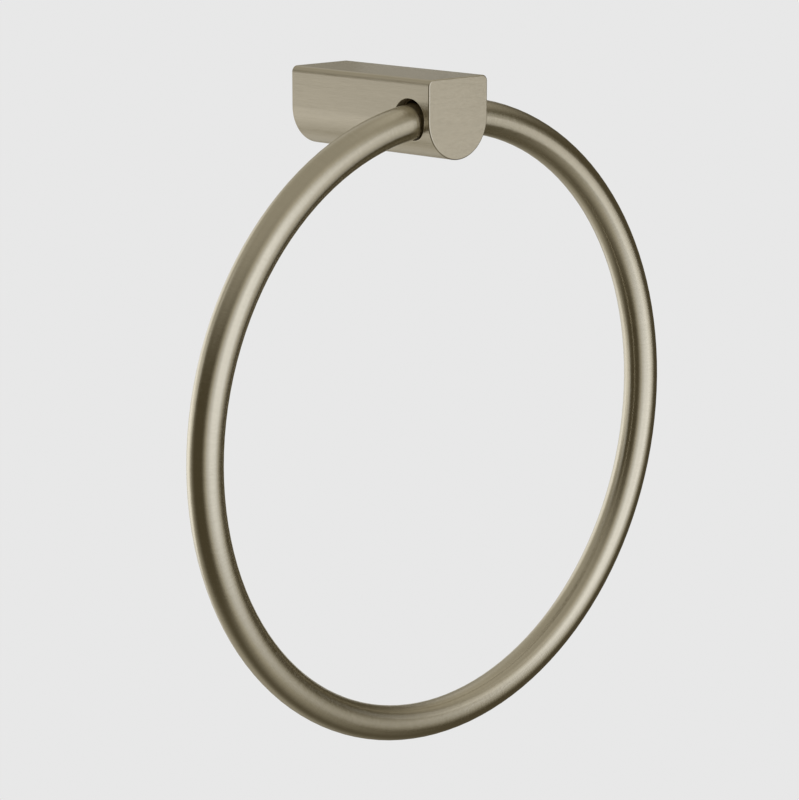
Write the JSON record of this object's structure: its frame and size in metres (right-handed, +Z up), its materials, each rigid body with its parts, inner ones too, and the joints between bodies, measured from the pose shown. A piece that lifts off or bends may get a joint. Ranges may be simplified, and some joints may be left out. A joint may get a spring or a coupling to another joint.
{
  "type": "towel holder",
  "caption": "Wall-mounted towel holder: a round ring of tube that swings in a cross bore near the front of a short post with a flat top and a half-round underside.",
  "frame": {"origin": "on the wall plane, in the middle of the post's width and level with the cross bore that the ring swings in", "axes": "+X to the right of someone who faces the wall, +Y into the wall, +Z up; the post stands out along -Y"},
  "size_m": [0.221, 0.0665, 0.2285],
  "materials": {
    "brushed_nickel": "satin brushed nickel plate",
    "brass": "turned, unplated",
    "dark_nylon": "plain dark plastic",
    "cast_zinc": "die-cast, as cast",
    "plain_steel": "plain stainless"
  },
  "bodies": {
    "bracket": {"post": "brushed_nickel", "left_bush": "dark_nylon", "right_bush": "dark_nylon", "wall_block": "cast_zinc", "grub_screw": "plain_steel"},
    "ring": {"ring": "brushed_nickel", "ring_spigot": "brass"}
  },
  "joints": [
    {"name": "ring_swing", "type": "hinge", "parent": "bracket", "child": "ring", "pos_m": [0, -0.057, 0], "axis": [-1, 0, 0], "range_deg": [-14, 194]}
  ]
}
